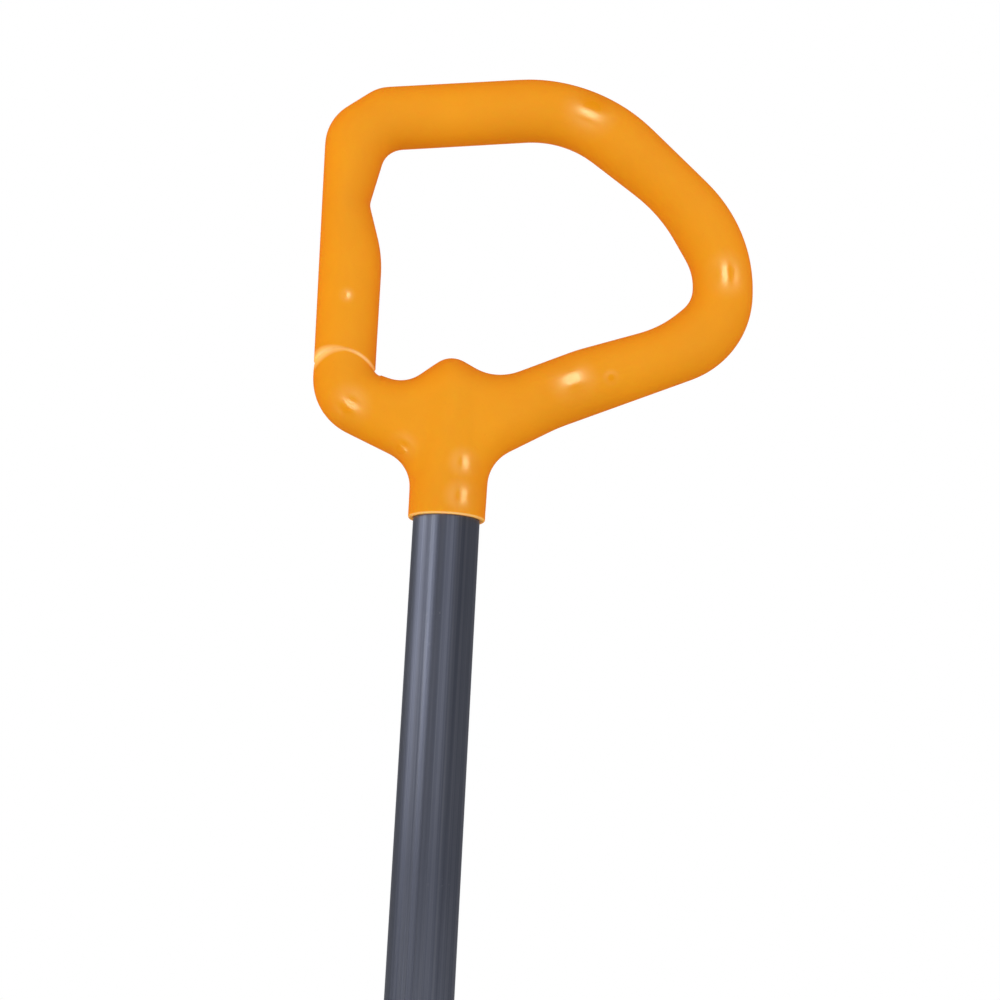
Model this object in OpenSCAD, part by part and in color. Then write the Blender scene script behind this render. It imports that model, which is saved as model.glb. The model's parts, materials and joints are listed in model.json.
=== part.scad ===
// Avalanche shovel: a closed asymmetric hand loop on a telescoping round shaft, with a pressed
// aluminium blade that pulls off its socket. Two snap buttons lock the length and the blade.
// Millimetres. +Z runs up the shaft to the grip and -Y is the hollow side of the blade.
// The origin is the middle of the blade's digging edge.

/* [Shaft] */
// Outer diameter of the tube that carries the grip
upper_d = 28; // [27.5:0.1:28.5]
// Outer diameter of the tube that carries the blade
lower_d = 32; // [31.2:0.1:33]
// Wall of the upper tube
upper_wall = 1.5; // [1.2:0.1:2]
// Length of upper tube that shows between the guide collar and the grip
upper_shown = 225; // [215:5:260]
// How far the shaft telescopes from locked long to locked short
travel = 165; // [120:5:165]

/* [Grip] */
// Depth of the hand loop, front to back
loop_depth = 26; // [22:0.5:28]
// Radius on the loop's edges, which stays under half of its narrowest part
loop_edge_r = 9.5; // [8:0.1:9.8]
// How deep the upper tube sits in the grip's neck
neck_bore = 54; // [45:1:54]

/* [Blade] */
// Height of the blade from its digging edge to its top edge
blade_h = 270; // [255:1:285]
// Width of the blade at its shoulders
blade_w = 250; // [235:1:260]
// Width of the blade near its digging edge
tip_w = 226; // [205:1:240]
// Thickness of the pressed sheet
sheet_t = 2; // [1.5:0.1:2.5]
// How far the digging edge stands forward of the blade's flat upper part
scoop = 26; // [15:1:35]
// How far the blade's sides curl forward
side_curl = 22; // [10:1:28]

/* [Buttons] */
// Diameter of both snap buttons
button_d = 9.6; // [8:0.1:9.8]

/* [Hidden] */
$fn = 72;
over = 1; // how far a cutter runs past what it cuts

orange = [0.94, 0.6, 0.13];
slate = [0.36, 0.38, 0.45];
silver = [0.74, 0.75, 0.77];
black = [0.1, 0.1, 0.11];
steel = [0.6, 0.61, 0.63];

// Blade levels, and the depth at which the shaft stands behind the digging edge
flat_z = blade_h - 100;  // the blade is flat and parallel to the shaft above this
panel_y = 2;             // front of the flat part, behind the shaft's axis
shaft_y = scoop - panel_y - sheet_t / 2;
hump_foot = 30;          // the hump over the socket fades out here
hump_full = blade_h - 105;  // and has its full height from here up
edge_z = 0.6;            // lift that keeps the slanted edge's lowest line near z = 0

// Socket
socket_gap = 0.1;
socket_wall = 2;
socket_r = lower_d / 2 + socket_gap;
socket_out_r = socket_r + socket_wall;
socket_foot = blade_h - 95;
socket_top = blade_h + 45;

// Shaft levels
lower_foot = blade_h - 25;
lower_top = lower_foot + 310;
lower_bore_r = upper_d / 2 + 0.3;
collar_lip = 5;
collar_out_r = lower_d / 2 + 2.6;
neck_z = lower_top + collar_lip + upper_shown;
upper_overlap = 70;
upper_foot = lower_top - upper_overlap;
upper_bore_r = upper_d / 2 - upper_wall;

// Buttons and their springs
button_hole_r = 5.1;
length_button_z = upper_foot + 20;
blade_button_z = blade_h + 22;
button_stand = 3.5;      // how far a button stands out of the tube it locks
spring_t = 0.6;
spring_w = 8;
spring_hole_r = 2.15;

// Fasteners
rivet_r = 2;
rivet_hole_r = 2.05;
socket_rivet_z = [blade_h - 75, lower_foot - 7];
saddle_rivet_x = 36;
saddle_rivet_z = [blade_h - 72, blade_h - 50, blade_h - 28];
saddle_foot = blade_h - 82;
saddle_top = blade_h - 12;
saddle_t = 2;
saddle_gap = 0.1;
anchor_hole = [62, blade_h - 32];
anchor_hole_r = 4.5;
collar_screw_z = lower_top - 12;

// Hand loop, as corners [across, up from the neck's rim, corner radius]
// Its foot stays inside the neck's cylinder.
neck_r = 16.2;
loop_outside = [
    [13, 6, 1], [15.3, 25.6, 18], [45, 42.6, 60], [126.3, 77.8, 44], [126.3, 134.8, 67],
    [56.8, 203.3, 75], [-40.9, 191.9, 17.5], [-62.3, 175.3, 21], [-59.6, 42.6, 24],
    [-15.3, 23.2, 16], [-13, 6, 1]
];
loop_inside = [
    [-34.6, 62.8, 2.5], [-20.6, 57.8, 14], [-2.1, 72.1, 10.2], [17.2, 61.1, 22], [51, 75.7, 60],
    [87, 88, 45], [101, 100.6, 13.5], [101, 114.5, 25], [85.3, 141.2, 64], [41.8, 172.6, 41],
    [-35.5, 163.6, 9.3], [-41.7, 137.8, 6], [-34.8, 114.5, 55]
];
seam_centre = [-48, 48.7];   // the loop's free end closes on an arched seam
seam_r = 20;
seam_gap = 0.5;
closure_x = -47.5;
closure_r = 6;
closure_foot = 50;
closure_top = 90;
grip_rivet_up = 30;          // above the neck's rim
grip_spot_y = 15.4;          // depth of the spot face under the rivet's head

// ---- Geometry helpers ----

function unit(v) = v / norm(v);

// The arc that rounds corner b of the outline a, b, c. A row is [x, y, radius].
function corner(a, b, c) =
    let (
        here = [b[0], b[1]],
        back = unit([a[0], a[1]] - here),
        ahead = unit([c[0], c[1]] - here),
        half = acos(back * ahead) / 2,
        centre = here + unit(back + ahead) * b[2] / sin(half),
        first = here + back * b[2] / tan(half) - centre,
        last = here + ahead * b[2] / tan(half) - centre,
        from = atan2(first[1], first[0]),
        turn = (atan2(last[1], last[0]) - from + 540) % 360 - 180,
        steps = max(2, ceil(abs(turn) / 11))
    )
    [for (i = [0:steps]) centre + b[2] * [cos(from + turn * i / steps), sin(from + turn * i / steps)]];

function rounded(rows) =
    let (n = len(rows))
    [for (i = [0:n - 1]) each corner(rows[(i + n - 1) % n], rows[i], rows[(i + 1) % n])];

function clamp01(t) = min(1, max(0, t));
function smooth(t) = let (s = clamp01(t)) s * s * (3 - 2 * s);

// Puts children at a height on the shaft's axis.
module on_shaft(z = 0) {
    translate([0, shaft_y, z]) children();
}

// A tube along the shaft's axis.
module pipe(outer_r, inner_r, foot, top) {
    on_shaft(foot) difference() {
        cylinder(r = outer_r, h = top - foot);
        translate([0, 0, -over]) cylinder(r = inner_r, h = top - foot + 2 * over);
    }
}

// A bar from the shaft's axis straight out of the front, between two distances from the axis.
module front_bar(r, z, near, far) {
    on_shaft(z) translate([0, -near, 0]) rotate([90, 0, 0]) cylinder(r = r, h = far - near);
}

// A bar out of the back.
module back_bar(r, z, near, far) {
    on_shaft(z) translate([0, far, 0]) rotate([90, 0, 0]) cylinder(r = r, h = far - near);
}

// A rivet along +Z: its domed head sits at z = 0, and its shank and tail run down from there.
module rivet(head_r, head_h, shank_l, tail_r, tail_h) {
    curve = (head_r * head_r + head_h * head_h) / (2 * head_h);
    intersection() {
        translate([0, 0, head_h - curve]) sphere(r = curve);
        cylinder(r = head_r, h = head_h);
    }
    translate([0, 0, -shank_l]) cylinder(r = rivet_r, h = shank_l);
    translate([0, 0, -shank_l - tail_h]) cylinder(r = tail_r, h = tail_h);
}

// ---- Hand loop ----

module loop_profile() {
    difference() {
        polygon(rounded(loop_outside));
        polygon(rounded(loop_inside));
    }
}

// Stands a drawing of [across, up] upright, with its middle on the shaft's axis at the neck's rim.
module upright() {
    on_shaft(neck_z) rotate([90, 0, 0]) children();
}

module loop_body() {
    plate = 1;
    upright() minkowski() {
        linear_extrude(height = plate, center = true) offset(delta = -loop_edge_r) loop_profile();
        scale([1, 1, (loop_depth - plate) / 2 / loop_edge_r]) sphere(r = loop_edge_r, $fn = 20);
    }
}

module neck_body() {
    dome_z = 49;
    on_shaft(neck_z) {
        cylinder(r = neck_r, h = dome_z, $fn = 64);
        translate([0, 0, dome_z]) sphere(r = neck_r, $fn = 64);
    }
}

// Loop and neck as one shell. The zero sizes change nothing: they make it one mesh before it is bored.
module shell_body() {
    resize([0, 0, 0]) union() {
        loop_body();
        neck_body();
    }
}

module seam_cut() {
    upright() linear_extrude(height = 2 * loop_depth, center = true) intersection() {
        translate(seam_centre) difference() {
            circle(r = seam_r + seam_gap);
            circle(r = seam_r);
        }
        translate([seam_centre[0] - 16, seam_centre[1] + 8]) square([32, 20]);
    }
}

module closure_bar(r, extra) {
    translate([closure_x, 0, closure_foot - extra]) on_shaft(neck_z)
        cylinder(r = r, h = closure_top - closure_foot + 2 * extra);
}

module grip() {
    color(orange) difference() {
        shell_body();
        on_shaft(neck_z - over) cylinder(r = upper_d / 2 + 0.1, h = neck_bore + over);
        seam_cut();
        closure_bar(closure_r + 0.02, 0.5);
        back_bar(rivet_hole_r, neck_z + grip_rivet_up, 10, 20);
        back_bar(5.2, neck_z + grip_rivet_up, grip_spot_y, 20);
    }
}

module grip_closure_pin() {
    color(orange) closure_bar(closure_r, 0);
}

module grip_rivet() {
    color(steel) on_shaft(neck_z + grip_rivet_up) translate([0, grip_spot_y, 0]) rotate([-90, 0, 0])
        rivet(4.7, 1.5, grip_spot_y - (upper_bore_r - 0.5), 3.2, 2);
}

// ---- Upper shaft ----

module upper_tube() {
    color(slate) difference() {
        pipe(upper_d / 2, upper_bore_r, upper_foot, neck_z + neck_bore - 0.5);
        front_bar(button_hole_r, length_button_z, 5, 20);
        back_bar(rivet_hole_r, neck_z + grip_rivet_up, 5, 20);
    }
}

// A flange in the lower tube's bore, with a groove for its ring, and a spigot in the upper tube.
glide_h = 6;
ring_r = 1;
ring_seat_r = lower_bore_r - 2 * ring_r - 0.03;

module upper_tube_glide() {
    spigot = 8;
    bore_r = upper_bore_r - 3;
    flange_r = lower_bore_r - 0.06;
    color(black) on_shaft(upper_foot - glide_h) rotate_extrude() difference() {
        union() {
            translate([bore_r, 0]) square([flange_r - bore_r, glide_h - 0.02]);
            translate([bore_r, 0]) square([upper_bore_r - 0.05 - bore_r, glide_h + spigot]);
        }
        translate([ring_seat_r - 0.02, glide_h / 2 - ring_r - 0.1]) square([5, 2 * ring_r + 0.2]);
    }
}

module glide_ring() {
    color(black) on_shaft(upper_foot - glide_h / 2) rotate_extrude()
        translate([ring_seat_r + ring_r, 0]) circle(r = ring_r, $fn = 24);
}

// The outline of an upside-down U, filled in, from its foot up to its round top.
module u_shape(r, foot, leg_top) {
    translate([0, leg_top]) circle(r = r);
    translate([-r, foot]) square([2 * r, leg_top - foot]);
}

// A U of flat strip between the two walls of a bore. Its front leg carries a button at z = 0.
module snap_spring(outer_r, leg_top) {
    leg_foot = -6.5;
    difference() {
        translate([-spring_w / 2, 0, 0]) rotate([90, 0, 90]) linear_extrude(height = spring_w) difference() {
            u_shape(outer_r, leg_foot, leg_top);
            u_shape(outer_r - spring_t, leg_foot - over, leg_top);
        }
        rotate([90, 0, 0]) cylinder(r = spring_hole_r, h = 2 * outer_r);
    }
}

// A domed stud out of the front, riveted through its spring's leg.
module snap_button(leg_r, top_r) {
    dome_h = 1.8;
    head_r = button_d / 2;
    curve = (head_r * head_r + dome_h * dome_h) / (2 * dome_h);
    rotate([90, 0, 0]) {
        translate([0, 0, leg_r + 0.03]) cylinder(r = head_r, h = top_r - dome_h - leg_r);
        intersection() {
            translate([0, 0, top_r - curve]) sphere(r = curve);
            translate([0, 0, top_r - dome_h - 0.5]) cylinder(r = head_r, h = dome_h + 1);
        }
        translate([0, 0, leg_r - spring_t - 0.5]) cylinder(r = 2, h = spring_t + 1);
        translate([0, 0, leg_r - spring_t - 0.8]) cylinder(r = 3.2, h = 0.77);
    }
}

length_leg_r = upper_bore_r - 0.9;
blade_leg_r = lower_bore_r - 0.7;

module length_spring() {
    color(steel) on_shaft(length_button_z) snap_spring(length_leg_r, 20);
}

module length_button() {
    color(steel) on_shaft(length_button_z) snap_button(length_leg_r, lower_d / 2 + button_stand);
}

// ---- Lower shaft ----

module lower_tube() {
    color(slate) difference() {
        pipe(lower_d / 2, lower_bore_r, lower_foot, lower_top);
        for (z = [length_button_z, length_button_z - travel, blade_button_z])
            front_bar(button_hole_r, z, 5, 20);
        collar_screw_bars(1.55, lower_bore_r - over, 20);
    }
}

module collar_screw_bars(r, near, far) {
    for (side = [-1, 1]) on_shaft(collar_screw_z) rotate([0, side * 90, 0])
        translate([0, 0, near]) cylinder(r = r, h = far - near, $fn = 24);
}

module guide_collar() {
    skirt = 25;
    seat = lower_d / 2 + 0.05;
    slide_r = upper_d / 2 + 0.08;
    round_r = 2;
    top = skirt + collar_lip;
    color(black) difference() {
        on_shaft(lower_top - skirt) rotate_extrude() difference() {
            union() {
                translate([slide_r, 0]) square([collar_out_r - 0.8 - slide_r, top - round_r]);
                translate([slide_r, 1]) square([collar_out_r - slide_r, top - round_r - 1]);
                translate([slide_r, 1]) square([collar_out_r - round_r - slide_r, top - 1]);
                translate([collar_out_r - round_r, top - round_r]) circle(r = round_r);
            }
            translate([0, -over]) square([seat, skirt + 0.02 + over]);
        }
        collar_screw_bars(1.55, 15, 20);
        collar_screw_bars(2.6, collar_out_r - 1, 20);
    }
}

module collar_screws() {
    color(steel) {
        collar_screw_bars(1.5, lower_bore_r + 0.2, collar_out_r - 0.9);
        collar_screw_bars(2.5, collar_out_r - 0.95, collar_out_r + 0.2);
    }
}

module lower_tube_plug() {
    disc = 2.5;
    color(black) on_shaft(lower_foot - disc) {
        cylinder(r = lower_d / 2 - 0.1, h = disc - 0.02);
        cylinder(r = lower_bore_r - 0.05, h = disc + 7);
    }
}

module blade_spring() {
    color(steel) on_shaft(blade_button_z) mirror([0, 0, 1]) snap_spring(blade_leg_r, 20);
}

module blade_button() {
    color(steel) on_shaft(blade_button_z) snap_button(blade_leg_r, socket_out_r + button_stand);
}

// ---- Blade ----

// Front of the hump over the socket, from the shaft's axis, at distance a across:
// a round crest, straight flanks at flank_a, and a hollow foot that runs into the flat panel.
crest_r = socket_out_r + sheet_t + 0.5;
flank_a = 60;
foot_r = 8;
crest_x = crest_r * sin(flank_a);
foot_x = crest_x + (panel_y - foot_r * (1 - cos(flank_a)) + crest_r * cos(flank_a)) / tan(flank_a);
flat_x = foot_x + foot_r * sin(flank_a);

function hump_front(a) =
    a < crest_x ? -sqrt(crest_r * crest_r - a * a) :
    a < foot_x ? -crest_r * cos(flank_a) + (a - crest_x) * tan(flank_a) :
    a < flat_x ? panel_y - foot_r + sqrt(foot_r * foot_r - (flat_x - a) * (flat_x - a)) :
    panel_y;

// The hump shrinks in height and width towards the digging edge.
hump_least = 0.4;
function hump_share(z) = smooth((z - hump_foot) / (hump_full - hump_foot));
function hump_width(z) = hump_least + (1 - hump_least) * hump_share(z);
function hump(x, z) = hump_share(z) * (hump_front(abs(x) / hump_width(z)) - panel_y);

// A pressed bead on each side of the hump, which spreads towards the digging edge.
bead_h = 3.5;
bead_half_w = 11;
bead_foot = 45;
bead_top = blade_h - 85;
function bead(x, z) =
    let (
        middle = 68 - 18 * clamp01((z - bead_foot) / (bead_top - bead_foot)),
        off = clamp01(abs(abs(x) - middle) / bead_half_w),
        ends = smooth((z - bead_foot) / 25) * smooth((bead_top - z) / 25)
    )
    bead_h * ends * (1 + cos(180 * off)) / 2;

// The side walls curl forward, less near the digging edge, and the top edge rolls forward.
curl_x = 76;
lip_h = 16;
lip_z = 22;
function curl(x, z) =
    let (t = max(0, abs(x) - curl_x) / (blade_w / 2 - curl_x))
    side_curl * t * t * (0.35 + 0.65 * smooth(z / 150));
function lip(x, z) =
    let (t = clamp01((z - (blade_h - lip_z)) / lip_z), beside = smooth((abs(x) - 24) / 14))
    lip_h * (1 - sqrt(1 - 0.96 * t * t)) * beside;

// Front of the sheet, from the shaft's axis.
function sheet_front(x, z) =
    panel_y - scoop * pow(max(0, flat_z - z) / flat_z, 2)
    + hump(x, z) + bead(x, z) - curl(x, z) - lip(x, z);

// Outline of the blade as columns [across, foot, top], with round corners.
corner_x = 36;
tip_corner_z = 46;
top_corner_z = 26;
tip_bow = 7;
hump_x = 32;             // the hump's columns reach out to here
hump_columns = 11;
side_columns = 6;
corner_columns = 5;
rows = 24;
straight_x = blade_w / 2 - corner_x;
function column(x, round) =
    let (sweep = sqrt(max(0, 1 - round * round)))
    [x, edge_z + tip_bow * pow(x / (blade_w / 2), 2) + tip_corner_z * (1 - sweep),
     blade_h - top_corner_z * (1 - sweep)];
half_columns = [
    for (i = [0:hump_columns]) column(hump_x * i / hump_columns, 0),
    for (i = [1:side_columns]) column(hump_x + (straight_x - hump_x) * i / side_columns, 0),
    for (i = [1:corner_columns])
        let (s = sin(90 * i / corner_columns)) column(straight_x + corner_x * s, s)
];
side_count = len(half_columns) - 1;
columns = [
    for (i = [side_count:-1:1]) [-half_columns[i][0], half_columns[i][1], half_columns[i][2]],
    each half_columns
];

// The hump's columns close in with it, and all of them with the blade's taper.
function taper(z) = 1 - (1 - tip_w / blade_w) * (1 - z / blade_h);
function across(x, z) =
    let (a = abs(x), inner = hump_x * hump_width(z))
    sign(x) * taper(z) * (
        a < hump_x ? a * hump_width(z)
        : inner + (a - hump_x) * (blade_w / 2 - inner) / (blade_w / 2 - hump_x)
    );
function front_point(c, v) =
    let (z = c[1] + (c[2] - c[1]) * v, x = across(c[0], z))
    [x, sheet_front(x, z), z];
function sheet_normal(p) =
    let (
        d = 0.05,
        slope_x = (sheet_front(p[0] + d, p[2]) - sheet_front(p[0] - d, p[2])) / (2 * d),
        slope_z = (sheet_front(p[0], p[2] + d) - sheet_front(p[0], p[2] - d)) / (2 * d)
    )
    unit([-slope_x, 1, -slope_z]);

module blade_sheet_body() {
    n = len(columns);
    front = [for (j = [0:rows]) for (c = columns) front_point(c, j / rows)];
    back = [for (p = front) p + sheet_t * sheet_normal(p)];
    size = len(front);
    quads = [
        for (j = [0:rows - 1]) for (i = [0:n - 2])
            let (a = j * n + i)
            each [[a, a + n, a + n + 1, a + 1], [size + a, size + a + 1, size + a + n + 1, size + a + n]],
        for (i = [0:n - 2])
            let (b = rows * n + i)
            each [[i, i + 1, size + i + 1, size + i], [b, size + b, size + b + 1, b + 1]],
        for (j = [0:rows - 1])
            let (a = j * n, b = j * n + n - 1)
            each [[a, size + a, size + a + n, a + n], [b, b + n, size + b + n, size + b]]
    ];
    polyhedron(
        points = [each front, each back],
        faces = [for (q = quads) each [[q[0], q[1], q[2]], [q[0], q[2], q[3]]]]
    );
}

module at_saddle_rivets() {
    for (side = [-1, 1]) for (z = saddle_rivet_z) on_shaft(z)
        translate([side * saddle_rivet_x, panel_y, 0]) rotate([90, 0, 0]) children();
}

module blade_sheet() {
    color(silver) difference() {
        on_shaft() blade_sheet_body();
        at_saddle_rivets() translate([0, 0, -10]) cylinder(r = rivet_hole_r, h = 20, $fn = 24);
        for (z = socket_rivet_z) front_bar(rivet_hole_r, z, 10, 30);
        for (side = [-1, 1]) on_shaft(anchor_hole[1]) translate([side * anchor_hole[0], 10, 0])
            rotate([90, 0, 0]) cylinder(r = anchor_hole_r, h = 20);
    }
}

module blade_socket() {
    color(slate) difference() {
        pipe(socket_out_r, socket_r, socket_foot, socket_top);
        front_bar(button_hole_r, blade_button_z, 5, 25);
        for (z = socket_rivet_z) front_bar(rivet_hole_r, z, 10, 30);
    }
}

module socket_saddle() {
    face_y = panel_y + sheet_t + saddle_gap;
    inner_r = socket_out_r + 0.15;
    flange_x = saddle_rivet_x + 8;
    color(slate) difference() {
        on_shaft(saddle_foot) linear_extrude(height = saddle_top - saddle_foot) difference() {
            union() {
                circle(r = inner_r + saddle_t);
                translate([-flange_x, face_y]) square([2 * flange_x, saddle_t]);
            }
            circle(r = inner_r);
            translate([-flange_x, face_y - 2 * flange_x]) square(2 * flange_x);
        }
        at_saddle_rivets() translate([0, 0, -20]) cylinder(r = rivet_hole_r, h = 30, $fn = 24);
    }
}

module saddle_rivets() {
    color(steel) at_saddle_rivets()
        translate([0, 0, 0.02]) rivet(4.5, 1.6, sheet_t + saddle_gap + saddle_t + 0.1, 3.4, 1.6);
}

module socket_rivets() {
    color(steel) for (z = socket_rivet_z) on_shaft(z) translate([0, -crest_r - 0.02, 0]) rotate([90, 0, 0])
        rivet(4.5, 1.6, crest_r - socket_r + 0.4, 3.2, 1.8);
}

module socket_end_cap() {
    disc = 3;
    color(black) on_shaft(socket_foot - disc) {
        cylinder(r = socket_out_r - 0.3, h = disc - 0.02);
        cylinder(r = socket_r - 0.05, h = disc + 7);
    }
}

grip();
grip_closure_pin();
grip_rivet();
upper_tube();
upper_tube_glide();
glide_ring();
length_spring();
length_button();
lower_tube();
guide_collar();
collar_screws();
lower_tube_plug();
blade_spring();
blade_button();
blade_sheet();
blade_socket();
socket_saddle();
saddle_rivets();
socket_rivets();
socket_end_cap();
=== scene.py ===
"""The looks of the avalanche shovel: smooth meshes for its moulded grip and pressed blade, procedural
materials on every piece, and a plain studio around them. Lengths are millimetres until a mesh is made,
and heights up the grip are counted from the rim of its neck."""

import json
import math

import bpy
import numpy as np
from mathutils import Matrix, Vector


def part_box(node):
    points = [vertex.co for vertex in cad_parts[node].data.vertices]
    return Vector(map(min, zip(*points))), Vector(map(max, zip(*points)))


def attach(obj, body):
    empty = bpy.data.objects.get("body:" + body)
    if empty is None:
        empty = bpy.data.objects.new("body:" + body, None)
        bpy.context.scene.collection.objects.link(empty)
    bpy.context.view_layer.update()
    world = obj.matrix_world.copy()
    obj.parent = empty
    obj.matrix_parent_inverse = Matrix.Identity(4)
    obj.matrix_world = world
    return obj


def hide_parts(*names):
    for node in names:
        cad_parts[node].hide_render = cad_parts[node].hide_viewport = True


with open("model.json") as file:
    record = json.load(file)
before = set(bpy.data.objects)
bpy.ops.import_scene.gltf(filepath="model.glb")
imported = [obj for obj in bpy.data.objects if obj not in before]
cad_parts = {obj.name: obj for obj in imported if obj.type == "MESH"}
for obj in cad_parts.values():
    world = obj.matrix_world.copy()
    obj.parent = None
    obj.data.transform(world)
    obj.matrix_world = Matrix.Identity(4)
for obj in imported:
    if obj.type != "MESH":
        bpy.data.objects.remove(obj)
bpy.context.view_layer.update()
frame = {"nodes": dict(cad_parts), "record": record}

MM = 0.001


def middle(node):
    low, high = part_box(node)
    return (low + high) / 2 / MM


SHAFT_Y = middle("upper_tube").y                 # the shaft's axis stands at x = 0 and this y
NECK_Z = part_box("grip")[0].z / MM                # the rim of the grip's neck
TUBE_R = (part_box("upper_tube")[1].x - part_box("upper_tube")[0].x) / MM / 2


# ---------------------------------------------------------------- meshes

def add_mesh(name, points, faces, body, replaces):
    """Makes a smooth-shaded piece from points in millimetres, in place of the nodes that it replaces."""
    mesh = bpy.data.meshes.new(name)
    mesh.from_pydata((np.asarray(points, float) * MM).tolist(), [], [list(map(int, f)) for f in faces])
    mesh.validate()
    mesh.shade_smooth()
    piece = bpy.data.objects.new(name, mesh)
    bpy.context.scene.collection.objects.link(piece)
    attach(piece, body)
    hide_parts(*replaces)
    return piece


def smoothstep(t):
    t = np.clip(t, 0, 1)
    return t * t * (3 - 2 * t)


def blur(field, sigma):
    """Gaussian blur of a 2D field. sigma is in cells."""
    reach = int(math.ceil(3 * sigma))
    kernel = np.exp(-0.5 * (np.arange(-reach, reach + 1) / sigma) ** 2)
    kernel /= kernel.sum()
    for axis in (0, 1):
        padded = np.pad(field, [(reach, reach) if a == axis else (0, 0) for a in (0, 1)], mode="edge")
        count = field.shape[axis]
        field = sum(
            k * np.take(padded, range(i, i + count), axis=axis) for i, k in enumerate(kernel)
        )
    return field


def widest_near(field, reach):
    """Each cell's largest value within reach cells along both axes."""
    for axis in (0, 1):
        out = field
        for shift in range(1, reach + 1):
            for step in (shift, -shift):
                moved = np.roll(field, step, axis=axis)
                out = np.maximum(out, moved)
        field = out
    return field


def rounded(corners, turn_per_point=4.0):
    """An outline from rows of (x, z, radius), each corner rounded to its radius."""
    points = []
    count = len(corners)
    for i, (x, z, radius) in enumerate(corners):
        here = np.array([x, z], float)
        back = np.array(corners[i - 1][:2]) - here
        ahead = np.array(corners[(i + 1) % count][:2]) - here
        back, ahead = back / np.linalg.norm(back), ahead / np.linalg.norm(ahead)
        half = math.acos(np.clip(back @ ahead, -1, 1)) / 2
        centre = here + (back + ahead) / np.linalg.norm(back + ahead) * radius / math.sin(half)
        first = here + back * radius / math.tan(half) - centre
        last = here + ahead * radius / math.tan(half) - centre
        start = math.atan2(first[1], first[0])
        turn = (math.atan2(last[1], last[0]) - start + 3 * math.pi) % (2 * math.pi) - math.pi
        steps = max(2, math.ceil(abs(math.degrees(turn)) / turn_per_point))
        for k in range(steps + 1):
            a = start + turn * k / steps
            points.append(centre + radius * np.array([math.cos(a), math.sin(a)]))
    return np.array(points)


def inside_distance(xs, zs, outlines):
    """Each grid point's distance to the nearest outline, positive where an odd number of them hold it."""
    px, pz = np.meshgrid(xs, zs, indexing="ij")
    nearest = np.full(px.shape, 1e9)
    odd = np.zeros(px.shape, bool)
    for outline in outlines:
        for a, b in zip(outline, np.roll(outline, -1, axis=0)):
            d = b - a
            t = np.clip(((px - a[0]) * d[0] + (pz - a[1]) * d[1]) / max(d @ d, 1e-12), 0, 1)
            nearest = np.minimum(nearest, (px - a[0] - t * d[0]) ** 2 + (pz - a[1] - t * d[1]) ** 2)
            if d[1]:
                crosses = (a[1] <= pz) != (b[1] <= pz)
                odd ^= crosses & (px < a[0] + (pz - a[1]) * d[0] / d[1])
    return np.where(odd, 1, -1) * np.sqrt(nearest)


# ---------------------------------------------------------------- grip

LOOP_R = 13.1            # the loop's bars are round, with this radius
NECK_R = 16.2
NECK_TOP = 53            # the neck's round end is centred here, above the rim
TUBE_BORE_R = TUBE_R + 0.1
TUBE_BORE_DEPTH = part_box("upper_tube")[1].z / MM - NECK_Z + 0.5
LOOP_OUTSIDE = [
    (NECK_R, -6, 1), (16.6, 26.0, 17), (45, 42.2, 60), (126.6, 77.2, 41), (126.4, 134.6, 67),
    (55.8, 201.7, 75), (-40.9, 190.9, 17.5), (-62.7, 174.7, 21), (-59.9, 42.3, 26),
    (-16.4, 23.1, 16), (-NECK_R, -6, 1),
]
LOOP_INSIDE = [
    (-33.9, 61.7, 2.0), (-20.6, 57.5, 14), (-2.1, 71.8, 10.2), (17.2, 61.1, 22), (51, 76.1, 60),
    (86.8, 88.2, 45), (100.6, 100.8, 13.5), (100.6, 114.4, 25), (84.9, 141.0, 64), (41.8, 172.8, 41),
    (-35.3, 163.9, 9.3), (-41.2, 137.8, 6), (-34.2, 114.5, 55),
]
SEAM_CENTRE = np.array([-48, 48.7])    # the middle of the arched seam where the loop's free end closes
SEAM_R = 20.2
SEAM_DEPTH = 0.6
FIELD_STEP = 0.5         # spacing of the grid that the grip's shape is worked out on
GRIP_STEP = 1.0          # spacing of the grip's mesh


def grip_field():
    """The square of the grip's half depth over a grid of (x, height over the rim); below zero outside."""
    xs = np.arange(-70, 134, FIELD_STEP)
    zs = np.arange(-4, 208, FIELD_STEP)
    d = inside_distance(xs, zs, [rounded(LOOP_OUTSIDE), rounded(LOOP_INSIDE)])
    # Each bar's section is half an ellipse as deep as LOOP_R, over the bar's own half width.
    half_width = np.minimum(widest_near(d, int(11 / FIELD_STEP)), LOOP_R)
    half_width = np.maximum(blur(half_width, 3 / FIELD_STEP), 8)
    share = np.minimum(d / half_width, 1)
    loop = LOOP_R ** 2 * np.where(share > 0, 1 - (1 - share) ** 2, 2 * share)
    # The neck stands proud of the web between the arms, and dies away into it.
    px, pz = np.meshgrid(xs, zs, indexing="ij")
    neck = NECK_R ** 2 - px ** 2 - np.maximum(pz - NECK_TOP, 0) ** 2
    proud = np.sqrt(np.maximum(neck, 0)) - np.sqrt(np.maximum(loop, 0))
    proud = np.where(loop > 0, np.maximum(proud, 0), 0)
    soft = smoothstep((pz - 20) / 25)
    proud = proud * (1 - soft) + blur(proud, 3 / FIELD_STEP) * soft * (loop > 0)
    field = np.where(loop > 0, (np.sqrt(np.maximum(loop, 0)) + proud) ** 2, loop)
    return xs, zs, blur(field, 1 / FIELD_STEP)


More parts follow.
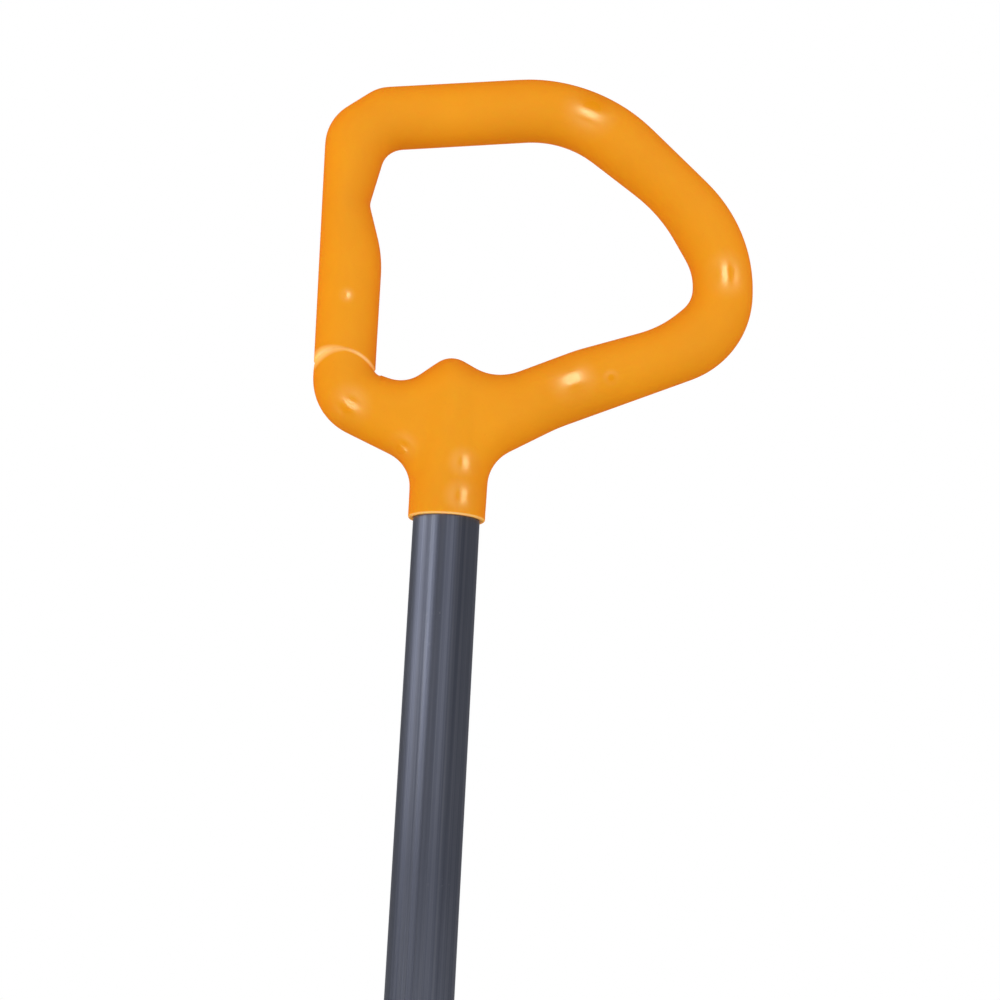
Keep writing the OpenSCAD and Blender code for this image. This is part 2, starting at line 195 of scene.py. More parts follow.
def sample(xs, zs, field, x, z):
    """The field and its slopes at points, evened out between the grid's cells."""
    u = (x - xs[0]) / FIELD_STEP
    v = (z - zs[0]) / FIELD_STEP
    i = np.clip(u.astype(int), 0, len(xs) - 2)
    j = np.clip(v.astype(int), 0, len(zs) - 2)
    u, v = u - i, v - j
    a, b, c, d = field[i, j], field[i + 1, j], field[i, j + 1], field[i + 1, j + 1]
    value = a * (1 - u) * (1 - v) + b * u * (1 - v) + c * (1 - u) * v + d * u * v
    slope_x = ((b - a) * (1 - v) + (d - c) * v) / FIELD_STEP
    slope_z = ((c - a) * (1 - u) + (d - b) * u) / FIELD_STEP
    return value, slope_x, slope_z


def surface_net(axes, values):
    """A quad mesh of the surface where values cross zero, with one point in each cell that it crosses."""
    sign = values > 0
    nx, ny, nz = values.shape
    total = np.zeros((nx - 1, ny - 1, nz - 1, 3))
    count = np.zeros((nx - 1, ny - 1, nz - 1))
    grids = np.meshgrid(*axes, indexing="ij")
    crossings = []
    for axis in range(3):
        low = [slice(None)] * 3
        high = [slice(None)] * 3
        low[axis], high[axis] = slice(0, -1), slice(1, None)
        low, high = tuple(low), tuple(high)
        change = sign[low] != sign[high]
        crossings.append(change)
        t = np.zeros(change.shape)
        t[change] = values[low][change] / (values[low][change] - values[high][change])
        point = np.stack([g[low] + t * (g[high] - g[low]) for g in grids], -1)
        others = [a for a in range(3) if a != axis]
        # The edge at index k touches cells k - 1 and k along each other axis.
        for first in (slice(1, None), slice(0, -1)):
            for second in (slice(1, None), slice(0, -1)):
                near = [slice(None)] * 3
                near[others[0]], near[others[1]] = first, second
                near = tuple(near)
                hit = change[near]
                total += np.where(hit[..., None], point[near], 0)
                count += hit
    used = count > 0
    index = np.full(used.shape, -1)
    index[used] = np.arange(used.sum())
    points = total[used] / count[used][:, None]
    quads = []
    for axis in range(3):
        a1, a2 = (axis + 1) % 3, (axis + 2) % 3
        where = np.argwhere(crossings[axis])
        keep = (where[:, a1] > 0) & (where[:, a2] > 0)
        keep &= (where[:, a1] < values.shape[a1] - 1) & (where[:, a2] < values.shape[a2] - 1)
        where = where[keep]
        corner = []
        for d1, d2 in ((-1, -1), (0, -1), (0, 0), (-1, 0)):
            cell = where.copy()
            cell[:, a1] += d1
            cell[:, a2] += d2
            corner.append(index[tuple(cell.T)])
        quad = np.stack(corner, 1)
        flip = ~sign[tuple(where.T)]
        quad[flip] = quad[flip][:, ::-1]
        quads.append(quad)
    return points, np.concatenate(quads)


def relax(points, quads, project, rounds, fixed):
    """Evens out a quad mesh: each point moves to its neighbours' mean and back on the surface."""
    edges = np.concatenate([quads[:, [k, (k + 1) % 4]] for k in range(4)])
    start = np.concatenate([edges[:, 0], edges[:, 1]])
    end = np.concatenate([edges[:, 1], edges[:, 0]])
    degree = np.bincount(start, minlength=len(points))[:, None]
    for _ in range(rounds):
        mean = np.stack([np.bincount(start, points[end, k], len(points)) for k in range(3)], 1) / degree
        moved = project(points + 0.5 * (mean - points))
        points = np.where(fixed[:, None], points, moved)
    return points


def grip_mesh():
    xs, zs, field = grip_field()

    def project(p, rounds=3):
        for _ in range(rounds):
            value, slope_x, slope_z = sample(xs, zs, field, p[:, 0], p[:, 2])
            gradient = np.stack([slope_x, -2 * p[:, 1], slope_z], 1)
            size = np.maximum((gradient ** 2).sum(1), 25)
            step = (value - p[:, 1] ** 2) / size
            p = p - np.clip(step, -0.05, 0.05)[:, None] * gradient
        return p

    lip_z = 4.0              # the neck is a plain tube below this
    seam_low, seam_high, seam_step = 58.5, 70.5, 0.4    # the mesh is finer round the seam
    levels = np.concatenate([
        np.arange(lip_z, seam_low, GRIP_STEP), np.arange(seam_low, seam_high, seam_step),
        np.arange(seam_high, 204, GRIP_STEP),
    ])
    axes = [np.arange(-66, 130, GRIP_STEP) + 0.013, np.arange(-18.5, 18.6, GRIP_STEP) + 0.007, levels]
    gx, gz = np.meshgrid(axes[0], axes[2], indexing="ij")
    plane = sample(xs, zs, field, gx.ravel(), gz.ravel())[0].reshape(gx.shape)
    values = plane[:, None, :] - axes[1][None, :, None] ** 2
    points, quads = surface_net(axes, values)
    points = project(points, 6)

    # The open ring at the foot becomes an exact circle, and the rim and the bore go on from it.
    sides = np.sort(np.concatenate([quads[:, [k, (k + 1) % 4]] for k in range(4)]), axis=1)
    edge, uses = np.unique(sides, axis=0, return_counts=True)
    ring = np.unique(edge[uses == 1])
    fixed = np.zeros(len(points), bool)
    fixed[ring] = True
    angle = np.arctan2(points[ring, 1], points[ring, 0])
    ring = ring[np.argsort(angle)]
    angle = np.sort(angle)
    ring_z = lip_z + 0.5
    points[ring] = np.stack([NECK_R * np.cos(angle), NECK_R * np.sin(angle), np.full(len(ring), ring_z)], 1)
    points = relax(points, quads, project, 6, fixed)
    points = cut_seam(points, quads, fixed)

    round_r = 0.8            # the rim's outer edge
    profile = [(NECK_R, z) for z in (3.4, 2.2, 1.4, round_r)]
    profile += [
        (NECK_R - round_r * (1 - math.cos(math.radians(a))), round_r * (1 - math.sin(math.radians(a))))
        for a in range(15, 91, 15)
    ]
    profile += [(TUBE_BORE_R + 0.45, 0), (TUBE_BORE_R + 0.1, 0.12), (TUBE_BORE_R, 0.5), (TUBE_BORE_R, 3)]
    profile += [(TUBE_BORE_R, TUBE_BORE_DEPTH - 1), (TUBE_BORE_R - 1, TUBE_BORE_DEPTH)]
    rows = [ring]
    extra = []
    base = len(points)
    for r, z in profile:
        extra.append(np.stack([r * np.cos(angle), r * np.sin(angle), np.full(len(ring), z)], 1))
        rows.append(base + np.arange(len(ring)))
        base += len(ring)
    tip = base
    extra.append(np.array([[0, 0, TUBE_BORE_DEPTH]]))
    points = np.concatenate([points, *extra])
    faces = quads.tolist()
    for upper, lower in zip(rows, rows[1:]):
        for k in range(len(ring)):
            n = (k + 1) % len(ring)
            faces.append([upper[n], upper[k], lower[k], lower[n]])
    last = rows[-1]
    faces += [[last[(k + 1) % len(ring)], last[k], tip] for k in range(len(ring))]
    return points + [0, SHAFT_Y, NECK_Z], faces


def cut_seam(points, quads, fixed):
    """The loop's free end meets the left arm on an arch: a narrow step above it, a soft shoulder below."""
    normal = np.zeros_like(points)
    a, b, c, d = (points[quads[:, k]] for k in range(4))
    face = np.cross(c - a, d - b)
    for k in range(4):
        for axis in range(3):
            normal[:, axis] += np.bincount(quads[:, k], face[:, axis], len(points))
    normal /= np.maximum(np.linalg.norm(normal, axis=1), 1e-9)[:, None]
    away = points[:, [0, 2]] - SEAM_CENTRE
    off = np.linalg.norm(away, axis=1) - SEAM_R
    here = (points[:, 0] < -30) & (points[:, 2] > 54) & (away[:, 1] > 0)
    shoulder, step = 0.9, 0.45
    depth = SEAM_DEPTH * np.exp(-np.maximum(-off, 0) / shoulder) * np.clip(1 - off / step, 0, 1)
    return points - normal * (depth * here * ~fixed)[:, None]


# ---------------------------------------------------------------- blade

def corner_turn(t):
    return np.sqrt(np.maximum(0, 1 - t * t))


class Blade:
    """The pressed sheet, as the CAD part has it: its front is a function of x and height."""
    low, high = (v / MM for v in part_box("blade_sheet"))
    height = high.z
    width = high.x - low.x
    taper_share = 0.096      # how much narrower it is at the digging edge
    thick = 2.0
    scoop = 26.0             # how far the digging edge stands forward of the flat part
    panel_y = 2.0            # front of the flat part, behind the shaft's axis
    flat_z = height - 100    # flat above this
    crest_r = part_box("blade_socket")[1].x / MM + 2.5    # the hump over the socket
    flank = math.radians(60)
    foot_r = 8.0
    hump_low, hump_full = 30, height - 105              # it fades in between these heights
    bead_low, bead_top, bead_half, bead_deep = 45, height - 85, 11, 3.5
    curl_from, curl_deep = 76, 22                       # the sides curl forward outside this
    lip_high, lip_deep, lip_from = 22, 16, 24           # the folded top edge, beside the socket

    def hump(self, x, z):
        share = smoothstep((z - self.hump_low) / (self.hump_full - self.hump_low))
        a = np.abs(x) / (0.4 + 0.6 * share)
        crest_x = self.crest_r * math.sin(self.flank)
        rise = self.panel_y - self.foot_r * (1 - math.cos(self.flank)) + self.crest_r * math.cos(self.flank)
        foot_x = crest_x + rise / math.tan(self.flank)
        flat_x = foot_x + self.foot_r * math.sin(self.flank)
        crest = -np.sqrt(np.maximum(self.crest_r ** 2 - a * a, 0))
        side = -self.crest_r * math.cos(self.flank) + (a - crest_x) * math.tan(self.flank)
        foot = self.panel_y - self.foot_r + np.sqrt(np.maximum(self.foot_r ** 2 - (flat_x - a) ** 2, 0))
        front = np.select([a < crest_x, a < foot_x, a < flat_x], [crest, side, foot], self.panel_y)
        return share * (front - self.panel_y)

    def front(self, x, z):
        # the beads lean towards the socket as they rise
        across = 68 - 18 * np.clip((z - self.bead_low) / (self.bead_top - self.bead_low), 0, 1)
        off = np.clip(np.abs(np.abs(x) - across) / self.bead_half, 0, 1)
        ends = smoothstep((z - self.bead_low) / 25) * smoothstep((self.bead_top - z) / 25)
        bead = self.bead_deep * ends * (1 + np.cos(math.pi * off)) / 2
        t = np.maximum(0, np.abs(x) - self.curl_from) / (self.width / 2 - self.curl_from)
        curl = self.curl_deep * t * t * (0.35 + 0.65 * smoothstep(z / 150))
        t = np.clip((z - (self.height - self.lip_high)) / self.lip_high, 0, 1)
        lip = self.lip_deep * (1 - np.sqrt(1 - 0.96 * t * t)) * smoothstep((np.abs(x) - self.lip_from) / 14)
        scoop = self.scoop * (np.maximum(0, self.flat_z - z) / self.flat_z) ** 2
        return self.panel_y - scoop + self.hump(x, z) + bead - curl - lip

    def mesh(self):
        """Front and back surfaces, and a half-round rim that joins them."""
        inset = self.thick / 2
        corner_x, tip_z, top_z, bow, lift = 36, 46, 26, 7, 0.6
        straight = self.width / 2 - corner_x
        flat = np.linspace(0, straight, 66)
        round_ = straight + (corner_x - inset) * np.sin(np.linspace(0, math.pi / 2, 22)[1:])
        half = np.concatenate([flat, round_])
        columns = np.concatenate([-half[:0:-1], half])
        turn = corner_turn(np.clip((np.abs(columns) - straight) / (corner_x - inset), 0, 1))
        foot = lift + inset + bow * (columns / (self.width / 2)) ** 2 + tip_z * (1 - turn)
        top = self.height - inset - top_z * (1 - turn)
        v = np.linspace(0, 1, 150)[:, None]
        z = foot + (top - foot) * v
        x = columns * (1 - self.taper_share * (1 - z / self.height))
        front = np.stack([x, self.front(x, z), z], -1)
        d = 0.1
        slope_x = (self.front(x + d, z) - self.front(x - d, z)) / (2 * d)
        slope_z = (self.front(x, z + d) - self.front(x, z - d)) / (2 * d)
        normal = np.stack([-slope_x, np.ones_like(x), -slope_z], -1)
        normal /= np.linalg.norm(normal, axis=-1, keepdims=True)
        rows, count = x.shape
        size = rows * count
        points = [front.reshape(-1, 3), (front + self.thick * normal).reshape(-1, 3)]
        i = (np.arange(rows - 1)[:, None] * count + np.arange(count - 1)).ravel()
        faces = [[a, a + 1, a + count + 1, a + count] for a in i]
        faces += [[size + a, size + a + count, size + a + count + 1, size + a + 1] for a in i]
        # the rim, round the boundary anticlockwise as seen from the front
        rim = [*range(count), *(count * r + count - 1 for r in range(1, rows))]
        rim += [*range(size - 2, size - count - 1, -1), *(count * r for r in range(rows - 2, 0, -1))]
        rim = np.array(rim)
        edge = points[0][rim]
        along = np.roll(edge, -1, axis=0) - np.roll(edge, 1, axis=0)
        back = normal.reshape(-1, 3)[rim]
        outward = np.cross(back, along)
        outward /= -np.linalg.norm(outward, axis=1, keepdims=True)
        centre = edge + back * self.thick / 2
        rings = [rim]
        base = 2 * size
        steps = 6
        for k in range(1, steps):
            a = math.pi * k / steps
            points.append(centre + self.thick / 2 * (outward * math.sin(a) - back * math.cos(a)))
            rings.append(base + np.arange(len(rim)))
            base += len(rim)
        rings.append(rim + size)
        for inner, outer in zip(rings, rings[1:]):
            for k in range(len(rim)):
                n = (k + 1) % len(rim)
                faces.append([inner[n], inner[k], outer[k], outer[n]])
        return np.concatenate(points) + [0, SHAFT_Y, 0], faces


def cylinder_cutter(centre, radius, length):
    """A plain bar along Y, to drill with."""
    sides = 48
    turn = np.linspace(0, 2 * math.pi, sides + 1)[:-1]
    ends = [
        np.stack([radius * np.cos(turn), np.full(sides, y), radius * np.sin(turn)], 1) + centre
        for y in (-length / 2, length / 2)
    ]
    faces = [[k, (k + 1) % sides, sides + (k + 1) % sides, sides + k] for k in range(sides)]
    faces += [list(range(sides - 1, -1, -1)), list(range(sides, 2 * sides))]
    mesh = bpy.data.meshes.new("cutter")
    mesh.from_pydata((np.concatenate(ends) * MM).tolist(), [], faces)
    cutter = bpy.data.objects.new("cutter", mesh)
    bpy.context.scene.collection.objects.link(cutter)
    return cutter


def drill(piece, cutters):
    """Cuts each cutter out of the piece and removes it."""
    for cutter in cutters:
        cut = piece.modifiers.new("hole", "BOOLEAN")
        cut.object = cutter
        cut.solver = "EXACT"
        depsgraph = bpy.context.evaluated_depsgraph_get()
        mesh = bpy.data.meshes.new_from_object(piece.evaluated_get(depsgraph))
        piece.modifiers.remove(cut)
        old = piece.data
        piece.data = mesh
        bpy.data.meshes.remove(old)
        bpy.data.objects.remove(cutter)


# ---------------------------------------------------------------- materials

class Shader:
    """A node material. Inputs take a number, a colour, or another node's output."""

    def __init__(self, name):
        self.material = bpy.data.materials.new(name)
        self.material.use_nodes = True
        self.nodes = self.material.node_tree.nodes
        self.links = self.material.node_tree.links
        self.nodes.clear()
        self.surface = self.nodes.new("ShaderNodeBsdfPrincipled")
        output = self.nodes.new("ShaderNodeOutputMaterial")
        self.links.new(self.surface.outputs[0], output.inputs[0])
        coordinates = self.nodes.new("ShaderNodeTexCoord")
        self.place = self.vector("SCALE", coordinates.outputs["Object"], scale=1 / MM)

    def put(self, socket, value):
        if isinstance(value, bpy.types.NodeSocket):
            self.links.new(value, socket)
        elif hasattr(value, "__len__") and len(value) == 3 and socket.type == "RGBA":
            socket.default_value = (*value, 1)
        else:
            socket.default_value = value

    def set(self, **values):
        for name, value in values.items():
            self.put(self.surface.inputs[name.replace("_", " ").title()], value)

    def constant(self, name, value):
        self.surface.inputs[name].default_value = value

    def vector(self, operation, a, b=None, scale=None):
        node = self.nodes.new("ShaderNodeVectorMath")
        node.operation = operation
        self.put(node.inputs[0], a)
        if b is not None:
            self.put(node.inputs[1], b)
        if scale is not None:
            self.put(node.inputs["Scale"], scale)
        return node.outputs["Value"] if operation in ("LENGTH", "DOT_PRODUCT") else node.outputs[0]

    def math(self, operation, a, b=0.0, clamp=False):
        node = self.nodes.new("ShaderNodeMath")
        node.operation = operation
        node.use_clamp = clamp
        self.put(node.inputs[0], a)
        self.put(node.inputs[1], b)
        return node.outputs[0]

    def split(self, vector):
        node = self.nodes.new("ShaderNodeSeparateXYZ")
        self.put(node.inputs[0], vector)
        return node.outputs

    def noise(self, per_mm, detail=2.0, roughness=0.5, seed=0.0):
        """Noise from 0 to 1. per_mm is its frequency, or one for each axis."""
        per_mm = per_mm if hasattr(per_mm, "__len__") else (per_mm,) * 3
        node = self.nodes.new("ShaderNodeTexNoise")
        node.noise_dimensions = "4D"
        self.put(node.inputs["Vector"], self.vector("MULTIPLY", self.place, per_mm))
        for name, value in (("W", seed), ("Scale", 1.0), ("Detail", detail), ("Roughness", roughness)):
            self.put(node.inputs[name], value)
        return node.outputs["Fac"]

    def spread(self, value, low, high, to_low=0.0, to_high=1.0):
        """Maps low..high to to_low..to_high, clamped."""
        node = self.nodes.new("ShaderNodeMapRange")
        for k, v in enumerate((value, low, high, to_low, to_high)):
            self.put(node.inputs[k], v)
        return node.outputs[0]

    def mix(self, a, b, share, blend="MIX"):
        node = self.nodes.new("ShaderNodeMix")
        node.data_type = "RGBA"
        node.blend_type = blend
        self.put(node.inputs["Factor"], share)
        self.put(node.inputs[6], a)
        self.put(node.inputs[7], b)
        return node.outputs[2]

    def bump(self, height, depth_mm, strength=1.0, normal=None):
        node = self.nodes.new("ShaderNodeBump")
        self.put(node.inputs["Height"], height)
        self.put(node.inputs["Distance"], depth_mm * MM)
        self.put(node.inputs["Strength"], strength)
        if normal is not None:
            self.put(node.inputs["Normal"], normal)
        return node.outputs[0]

    def flat_distance(self, x, up):
        """Distance from a bar along Y at x and this height over the neck's rim."""
        off = self.vector("SUBTRACT", self.place, (x, 0, NECK_Z + up))
        return self.vector("LENGTH", self.vector("MULTIPLY", off, (1, 0, 1)))

    def scratches(self, per_mm, width, seed):
        """Thin marks, mostly 0 and 1 along a line: where a stretched noise passes through its middle."""
        off = self.math("ABSOLUTE", self.math("SUBTRACT", self.noise(per_mm, 0.0, 0.5, seed), 0.5))
        return self.spread(off, 0.0, width, 1.0, 0.0)


def srgb(r, g, b):
    """A colour given as it looks on a screen, 0 to 255, as linear light."""
    shares = (r / 255, g / 255, b / 255)
    return tuple(c / 12.92 if c <= 0.04045 else ((c + 0.055) / 1.055) ** 2.4 for c in shares)


ALONG_Y, ALONG_Z = 1, 2
# Where the plastic is worn smooth and catches the small lamps: (x, height over the neck's rim, reach)
POLISHED = [
    (53, 181, 14), (114, 110, 12), (50, 60, 12), (66, 62, 4), (-43, 44.5, 11), (-20, 28, 8), (6.5, 22, 8),
    (6.5, 8, 9), (-47, 92, 4),
]
POLISH, MATT = 0.18, 0.92    # how rough it is there, and elsewhere


def painted_edge_highlights(s):
    """Painted highlight: 1 on the edge where the loop's free end meets the left arm, and on the neck's rim,
    where a pale colour stands in for the light that these edges catch.
    """
    x, _, z = s.split(s.place)
    off = s.math("SUBTRACT", s.flat_distance(*SEAM_CENTRE), SEAM_R)
    width = s.spread(x, -60, -46, 4.2, 1.0)
    across = s.math("DIVIDE", s.math("ABSOLUTE", s.math("ADD", off, 0.4)), width)
    seam = s.spread(across, 0.15, 1.0, 1.0, 0.0)
    from_middle = s.math("ABSOLUTE", s.math("SUBTRACT", x, SEAM_CENTRE[0]))
    seam = s.math("MULTIPLY", seam, s.spread(from_middle, 3, 11, 0.4, 1.0))
    # it ends at the bar's inner side, and shows on the upper half of its circle only
    seam = s.math("MULTIPLY", seam, s.spread(x, -33, -31, 1.0, 0.0))
    seam = s.math("MULTIPLY", seam, s.spread(z, NECK_Z + 54, NECK_Z + 57))
    # a painted highlight, as a pale band round the foot of the neck's rim
    rim = s.spread(z, NECK_Z + 0.2, NECK_Z + 0.9, 0.85, 0.0)
    return s.math("MAXIMUM", seam, rim)


def orange_plastic():
    s = Shader("orange_plastic")
    cloud = s.noise(0.02, 3.0)
    fleck = s.noise(0.9, 2.0, 0.6, 3.0)
    base = s.mix(srgb(217, 158, 3), srgb(223, 165, 4), s.spread(cloud, 0.35, 0.65))
    base = s.mix(base, srgb(209, 148, 2), s.spread(fleck, 0.58, 0.8, 0.0, 0.35))
    scuffed = s.spread(s.noise(0.03, 1.0, 0.5, 5.0), 0.5, 0.7)
    scuff = s.math("MULTIPLY", s.scratches((0.35, 0.35, 0.05), 0.006, 11.0), scuffed)
    base = s.mix(base, srgb(236, 178, 60), s.math("MULTIPLY", scuff, 0.25))
    # painted highlight: a near-white colour along the seam and the neck's rim, as if they caught the light
    base = s.mix(base, srgb(254, 240, 222), painted_edge_highlights(s))
    worn = 0.0
    for x, up, reach in POLISHED:
        worn = s.math("MAXIMUM", worn, s.spread(s.flat_distance(x, up), 0.2 * reach, reach, 1.0, 0.0))
    grain = s.spread(s.noise(0.12, 4.0, 0.6, 7.0), 0.3, 0.7, -0.03, 0.03)
    rough = s.math("ADD", s.spread(worn, 0.0, 1.0, MATT, POLISH), grain)
    rough = s.math("ADD", rough, s.math("MULTIPLY", scuff, 0.15))
    skin = s.bump(s.noise(0.55, 2.0, 0.5, 9.0), 0.05, 0.4)
    from_middle = s.math("ABSOLUTE", s.math("SUBTRACT", s.split(s.place)[ALONG_Y], SHAFT_Y))
    parting_line = s.spread(from_middle, 0.0, 0.35, 1.0, 0.0)
    skin = s.bump(parting_line, 0.12, 0.6, skin)
    s.set(base_color=base, roughness=rough, normal=skin)
    s.constant("IOR", 1.5)
    s.constant("Specular IOR Level", 0.2)
    s.constant("Subsurface Weight", 0.4)
    s.constant("Subsurface Radius", (1.0, 0.3, 0.05))
    s.constant("Subsurface Scale", 0.004)
    # a clear orange skin, which looks deeper where it is seen at a slant
    s.constant("Coat Weight", 1.0)
    s.constant("Coat IOR", 1.08)
    s.constant("Coat Roughness", 0.8)
    s.constant("Coat Tint", (0.96, 0.72, 0.4, 1))
    return s.material


def anodised(name, dark, light, streak_mm, metallic):
    """Anodised aluminium with fine streaks, drawn along Z."""
    s = Shader(name)
    fine = [1 / streak_mm] * 3
    coarse = [1 / (4 * streak_mm)] * 3
    fine[ALONG_Z], coarse[ALONG_Z] = 0.004, 0.002
    streak = s.noise(fine, 3.0, 0.6, 1.0)
    band = s.noise(coarse, 2.0, 0.5, 2.0)
    cloud = s.noise(0.015, 2.0, 0.5, 4.0)
    tone = s.math("ADD", s.math("MULTIPLY", streak, 0.55), s.math("MULTIPLY", band, 0.45))
    base = s.mix(dark, light, s.spread(tone, 0.32, 0.68))
    base = s.mix(base, dark, s.spread(cloud, 0.45, 0.75, 0.0, 0.3))
    knocked = s.spread(s.noise(0.05, 1.0, 0.5, 8.0), 0.55, 0.68)
    nick = s.math("MULTIPLY", s.scratches((0.5, 0.5, 0.5), 0.004, 6.0), knocked)
    base = s.mix(base, tuple(min(1, c * 1.7) for c in light), s.math("MULTIPLY", nick, 0.5))
    rough = s.spread(s.noise(fine, 2.0, 0.6, 12.0), 0.3, 0.7, 0.3, 0.42)
    s.set(base_color=base, roughness=rough, normal=s.bump(streak, 0.01, 0.15))
    s.constant("Metallic", metallic)
    return s.material


def moulded_black(name, base_a, base_b, grain_mm, roughness):
    s = Shader(name)
    base = s.mix(base_a, base_b, s.spread(s.noise(0.08, 3.0), 0.35, 0.7))
    grain = s.noise(1 / grain_mm, 3.0, 0.6, 2.0)
    rough = s.spread(s.noise(0.3, 2.0, 0.5, 5.0), 0.3, 0.7, *roughness)
    s.set(base_color=base, roughness=rough, normal=s.bump(grain, 0.04, 0.7))
    return s.material


def bare_metal(name, base_a, base_b, roughness, grain):
    """Plain metal with a turned or brushed grain. grain is its frequency along each axis."""
    s = Shader(name)
    lines = s.noise(grain, 3.0, 0.6, 1.0)
    base = s.mix(base_a, base_b, s.spread(lines, 0.3, 0.7))
    dull = s.spread(s.noise(0.25, 3.0, 0.6, 3.0), 0.55, 0.8, 0.0, 0.5)
    base = s.mix(base, tuple(0.6 * c for c in base_a), dull)
    rough = s.spread(s.noise(0.6, 2.0, 0.5, 5.0), 0.3, 0.7, *roughness)
    s.set(base_color=base, roughness=rough, normal=s.bump(lines, 0.01, 0.4))
    s.constant("Metallic", 1.0)
    return s.material


MATERIALS = {
    "orange_plastic": orange_plastic(),
    "slate_anodised": anodised(
        "slate_anodised", srgb(109, 114, 133), srgb(150, 154, 170), streak_mm=0.7, metallic=1.0
    ),
    "silver_anodised": anodised(
        "silver_anodised", srgb(178, 181, 186), srgb(214, 216, 219), streak_mm=0.5, metallic=0.5
    ),
    "black_plastic": moulded_black("black_plastic", srgb(28, 28, 30), srgb(40, 40, 43), 0.5, (0.5, 0.65)),
    "black_rubber": moulded_black("black_rubber", srgb(20, 20, 20), srgb(30, 30, 30), 0.9, (0.7, 0.85)),
    "steel": bare_metal("steel", srgb(160, 162, 166), srgb(196, 198, 201), (0.22, 0.36), (1.2, 1.2, 0.1)),
    "rivet_aluminium": bare_metal(
        "rivet_aluminium", srgb(186, 188, 191), srgb(214, 215, 217), (0.3, 0.45), 0.7
    ),
}


def finish_piece(piece, slot):
    piece.data.materials.clear()
    piece.data.materials.append(MATERIALS[slot])


# ---------------------------------------------------------------- pieces

def build():
    points, faces = grip_mesh()
    grip = add_mesh("grip_loop", points, faces, "handle_shaft", ["grip"])
    finish_piece(grip, "orange_plastic")

    points, faces = Blade().mesh()
    sheet = add_mesh("blade_shell", points, faces, "blade", ["blade_sheet"])
    anchor_mounts = [m for m in frame["record"]["mounts"] if m["name"].startswith("anchor_hole")]
    drill(sheet, [
        cylinder_cutter(np.array(m["pos_m"]) / MM, m["dims"]["r_mm"], 20) for m in anchor_mounts
    ])
    sheet.data.set_sharp_from_angle(angle=math.radians(40))
    finish_piece(sheet, "silver_anodised")

    replaced = {"grip", "blade_sheet"}
    slot_of = {row["node"]: row["material_slot"] for row in frame["record"]["subparts"]}
    for node, piece in frame["nodes"].items():
        if node not in replaced:
            piece.material_slots[0].material = MATERIALS[slot_of[node]]


build()


# ---------------------------------------------------------------- studio

def area_light(name, target, direction, distance, size, power):
    """A soft light that stands off target, in millimetres, along direction."""
    light = bpy.data.lights.new(name, "AREA")
    light.shape = "DISK"
    light.size = size * MM
    light.energy = power
    lamp = bpy.data.objects.new(name, light)
    bpy.context.scene.collection.objects.link(lamp)
    away = Vector(direction).normalized()
    lamp.location = (Vector(target) + away * distance) * MM
    lamp.rotation_euler = away.to_track_quat("Z", "Y").to_euler()
    return lamp


FILL = (1.3, 1.23)         # light from all around, at the camera's side and behind
OVERHEAD = 0.65            # how much of it comes from straight above
MIRRORED = (0.11, 0.18)    # what glossy surfaces see of it
FLOOR_R = 2200
FLOOR_Z = -0.5             # just under the digging edge


def surroundings():
    """White all round. The camera sees it plain, and glossy surfaces mirror only a little of it."""
    world = bpy.data.worlds.new("studio")
    bpy.context.scene.world = world
    world.use_nodes = True
    nodes, links = world.node_tree.nodes, world.node_tree.links
    nodes.clear()

    def ramp(value, low, high, at_low, at_high):
        node = nodes.new("ShaderNodeMapRange")
        links.new(value, node.inputs["Value"])
        for k, v in enumerate((low, high, at_low, at_high)):
            node.inputs[k + 1].default_value = v
        return node.outputs[0]

    def light(in_front, behind, overhead=1.0):
        """White light from in_front, at the camera's side, to behind. overhead scales it straight up."""
        level = nodes.new("ShaderNodeMath")
        level.operation = "MULTIPLY"
        links.new(ramp(direction.outputs["Y"], -1.0, 1.0, in_front, behind), level.inputs[0])
        links.new(ramp(direction.outputs["Z"], 0.0, 1.0, 1.0, overhead), level.inputs[1])
        node = nodes.new("ShaderNodeBackground")
        links.new(level.outputs[0], node.inputs["Strength"])
        node.inputs["Color"].default_value = (1, 1, 1, 1)
        return node.outputs[0]

    def either(share, without, with_it):
        node = nodes.new("ShaderNodeMixShader")
        links.new(share, node.inputs[0])
        links.new(without, node.inputs[1])
        links.new(with_it, node.inputs[2])
        return node.outputs[0]

    direction = nodes.new("ShaderNodeSeparateXYZ")
    links.new(nodes.new("ShaderNodeTexCoord").outputs["Generated"], direction.inputs[0])
    ray = nodes.new("ShaderNodeLightPath").outputs
    fill = light(*FILL, OVERHEAD)
    mirrored = light(*MIRRORED)
    seen = light(1, 1)
    output = nodes.new("ShaderNodeOutputWorld")
    links.new(
        either(ray["Is Camera Ray"], either(ray["Is Glossy Ray"], fill, mirrored), seen), output.inputs[0]
    )


def pale_floor():
    turn = np.linspace(0, 2 * math.pi, 97)[:-1]
    disc = np.stack([FLOOR_R * np.cos(turn), FLOOR_R * np.sin(turn), np.full(len(turn), FLOOR_Z)], 1)
    mesh = bpy.data.meshes.new("floor")
    mesh.from_pydata((disc * MM).tolist(), [], [list(range(len(turn)))])
    floor = bpy.data.objects.new("floor", mesh)
    bpy.context.scene.collection.objects.link(floor)
    s = Shader("floor")
    s.set(base_color=s.mix(srgb(236, 236, 234), srgb(242, 242, 240), s.noise(0.004, 2.0)), roughness=0.85)
    mesh.materials.append(s.material)


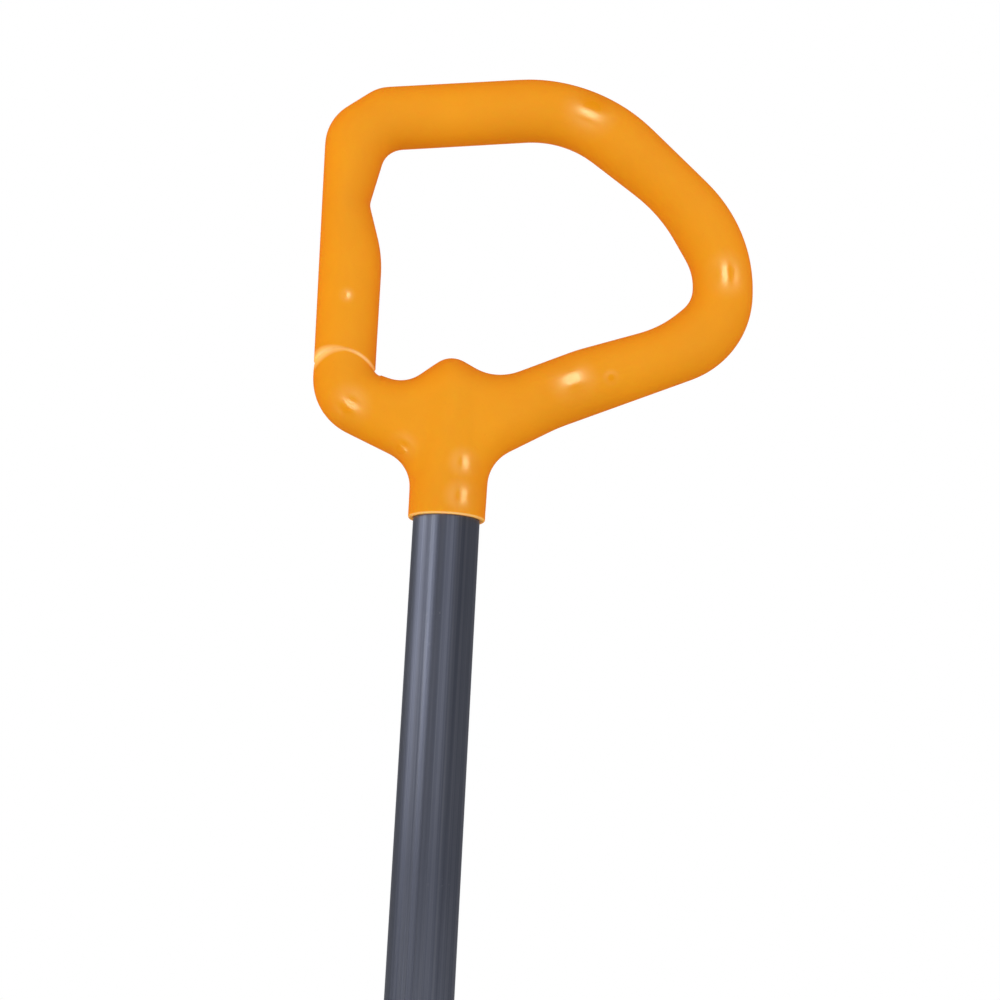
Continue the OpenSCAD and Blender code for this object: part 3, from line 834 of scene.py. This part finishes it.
def lamps():
    """Each lamp stands off the grip's middle. Its azimuth is counted from the front towards +X."""
    grip_middle = (30, SHAFT_Y, NECK_Z + 100)

    def lamp(name, azimuth, elevation, distance, size, power):
        a, e = math.radians(azimuth), math.radians(elevation)
        direction = (math.sin(a) * math.cos(e), -math.cos(a) * math.cos(e), math.sin(e))
        return area_light(name, grip_middle, direction, distance, size, power)

    plastic = bpy.data.collections.new("plastic")
    plastic.objects.link(bpy.data.objects["grip_loop"])

    def glint(name, azimuth, elevation, size, power):
        """A lamp that shows only as a highlight, and only on the plastic."""
        light = lamp(name, azimuth, elevation, 1000, size, power)
        light.visible_diffuse = False
        light.data.color = (0.6, 0.82, 1.0)
        light.light_linking.receiver_collection = plastic

    lamp("front", 18, 12, 1800, 1300, 2.2)
    lamp("left", -85, 10, 1500, 1000, 3)
    lamp("tube_band", -42, 3, 1300, 400, 1.25)
    under = lamp("under", 0, -32, 1400, 330, 1.3)
    under.visible_glossy = False
    under.light_linking.receiver_collection = plastic
    glint("glint_high", 4, 19, 400, 20)
    glint("glint_right", 50, 11, 400, 15)
    glint("glint_low", -23, -19, 400, 15)
    glint("glint_left", -76, -34, 220, 2.7)


def camera():
    """At the photograph's viewing angle: below the grip, looking up at it, and rolled a little."""
    rim = Vector((0, SHAFT_Y, NECK_Z))
    place = rim + Vector((22.05, -683.59, -120.69))
    up_angle, roll = math.radians(10.8), math.radians(2.908)
    forward = Vector((0, math.cos(up_angle), math.sin(up_angle)))
    right = Vector((1, 0, 0))
    up = right.cross(forward)
    rolled_right = right * math.cos(roll) + up * math.sin(roll)
    rolled_up = up * math.cos(roll) - right * math.sin(roll)
    data = bpy.data.cameras.new("camera")
    data.lens = 59.5
    data.sensor_width = 36
    data.clip_start = 0.01
    lens = bpy.data.objects.new("camera", data)
    bpy.context.scene.collection.objects.link(lens)
    basis = Matrix((rolled_right, rolled_up, -forward)).transposed()
    lens.matrix_world = Matrix.Translation(place * MM) @ basis.to_4x4()
    bpy.context.scene.camera = lens


bpy.context.scene.view_settings.view_transform = "Standard"
surroundings()
pale_floor()
lamps()
camera()
